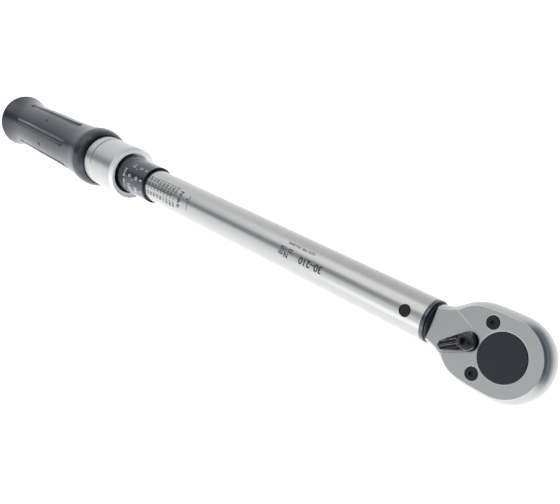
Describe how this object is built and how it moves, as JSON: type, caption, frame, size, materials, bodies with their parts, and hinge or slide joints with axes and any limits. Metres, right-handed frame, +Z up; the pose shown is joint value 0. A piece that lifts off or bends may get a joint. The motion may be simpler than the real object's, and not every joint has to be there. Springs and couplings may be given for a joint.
{
  "type": "torque wrench",
  "caption": "Adjustable click torque wrench with a reversible ratchet head, square drive, slim chrome tube, graduated thimble, sliding lock ring and fluted bell-mouthed grip.",
  "frame": {"origin": "centre of the square drive's end face, on the drive axis", "axes": "+X along the tool from the grip to the head, +Z up the drive axis towards the reversing lever, +Y completes the right-handed set"},
  "size_m": [0.4891, 0.044, 0.048],
  "materials": {
    "tube_chrome": "satin chrome plate, fine draw lines",
    "head_satin": "bead-blasted satin nickel",
    "gear_black": "black oxide, satin",
    "black_steel": "black oxide",
    "pin_black": "black oxide, semi-gloss",
    "lever_dark_chrome": "dark chrome",
    "collar_black": "gloss",
    "wiper_rubber": "satin",
    "hard_steel": "ground",
    "zinc_steel": "zinc plated",
    "spring_steel": "drawn wire",
    "spring_dark": "oiled spring steel",
    "brass": "turned",
    "core_aluminium": "turned",
    "nylon": "moulded",
    "thimble_black": "semi-gloss black",
    "ring_aluminium": "fine turned, bright",
    "grip_plastic": "satin moulded",
    "cap_plastic": "satin moulded"
  },
  "bodies": {
    "tube": {"outer_tube": "tube_chrome", "pivot_pin": "pin_black", "front_collar": "collar_black", "collar_wiper": "wiper_rubber", "load_nut": "brass", "nut_grub_screws": "black_steel"},
    "head": {"head_body": "head_satin", "cover_plate": "head_satin", "cover_screws": "black_steel", "arm_seat": "hard_steel"},
    "gear": {"ratchet_gear": "gear_black", "gear_seal_ring": "wiper_rubber", "drive_ball_spring": "spring_steel"},
    "drive_ball": {"drive_ball": "hard_steel"},
    "lever": {"reversing_lever": "lever_dark_chrome", "lever_clip": "spring_steel", "lever_detent_spring": "spring_steel"},
    "detent_ball": {"lever_detent_ball": "hard_steel"},
    "pawl": {"pawl": "hard_steel"},
    "plunger": {"plunger": "hard_steel"},
    "toggle": {"toggle_block": "hard_steel"},
    "thrust_carrier": {"main_spring": "spring_dark", "spring_seat": "hard_steel", "thrust_balls": "hard_steel", "thrust_cage": "brass"},
    "handle": {"thrust_washer": "hard_steel", "adjusting_screw": "hard_steel", "screw_washer": "zinc_steel", "screw_nut": "zinc_steel", "handle_core": "core_aluminium", "thimble_screws": "black_steel", "grip": "grip_plastic", "end_cap": "cap_plastic", "thimble": "thimble_black", "lock_shoes": "brass", "guide_bush": "nylon", "lock_snap_ring": "spring_steel", "lock_spring": "spring_steel"},
    "lock_ring": {"lock_ring": "ring_aluminium"}
  },
  "joints": [
    {"name": "click_pivot", "type": "hinge", "parent": "tube", "child": "head", "pos_m": [-0.05115, 0, 0.026], "axis": [0, 0, 1], "range_deg": [0, 2]},
    {"name": "plunger_slide", "type": "slide", "parent": "tube", "child": "plunger", "axis": [1, 0, 0], "range_m": [-0.0013, 0]},
    {"name": "toggle_tilt", "type": "hinge", "parent": "plunger", "child": "toggle", "pos_m": [-0.1027, -0.0031, 0.026], "axis": [0, 0, 1], "range_deg": [-11.2, 0]},
    {"name": "drive_spin", "type": "hinge", "parent": "head", "child": "gear", "pos_m": [0, 0, 0.026], "axis": [0, 0, 1], "continuous": true},
    {"name": "drive_ball_slide", "type": "slide", "parent": "gear", "child": "drive_ball", "axis": [-1, 0, 0], "range_m": [0, 0.0008], "deforming": ["drive_ball_spring"]},
    {"name": "lever_turn", "type": "hinge", "parent": "head", "child": "lever", "pos_m": [-0.017, 0, 0.026], "axis": [0, 0, 1], "range_deg": [-66, 0]},
    {"name": "detent_ball_slide", "type": "slide", "parent": "lever", "child": "detent_ball", "axis": [0.8387, 0.5446, 0], "range_m": [0, 0.00045], "deforming": ["lever_detent_spring"]},
    {"name": "pawl_rock", "type": "hinge", "parent": "head", "child": "pawl", "pos_m": [-0.017, 0, 0.026], "axis": [0, 0, 1], "range_deg": [-8, 0]},
    {"name": "thrust_slide", "type": "slide", "parent": "tube", "child": "thrust_carrier", "axis": [1, 0, 0], "range_m": [0, 0.0315], "deforming": ["main_spring"]},
    {"name": "handle_turn", "type": "hinge", "parent": "thrust_carrier", "child": "handle", "pos_m": [-0.4, 0, 0.026], "axis": [1, 0, 0], "range_deg": [0, 3240.5]},
    {"name": "lock_ring_slide", "type": "slide", "parent": "handle", "child": "lock_ring", "axis": [1, 0, 0], "range_m": [-0.006, 0], "deforming": ["lock_spring"]}
  ],
  "couplings": [
    {"joint": "plunger_slide", "follows": "click_pivot", "m_per_rad": -0.037},
    {"joint": "toggle_tilt", "follows": "click_pivot", "ratio": -5.5},
    {"joint": "pawl_rock", "follows": "lever_turn", "ratio": 0.12},
    {"joint": "handle_turn", "follows": "thrust_slide", "rad_per_m": 1795.2}
  ]
}
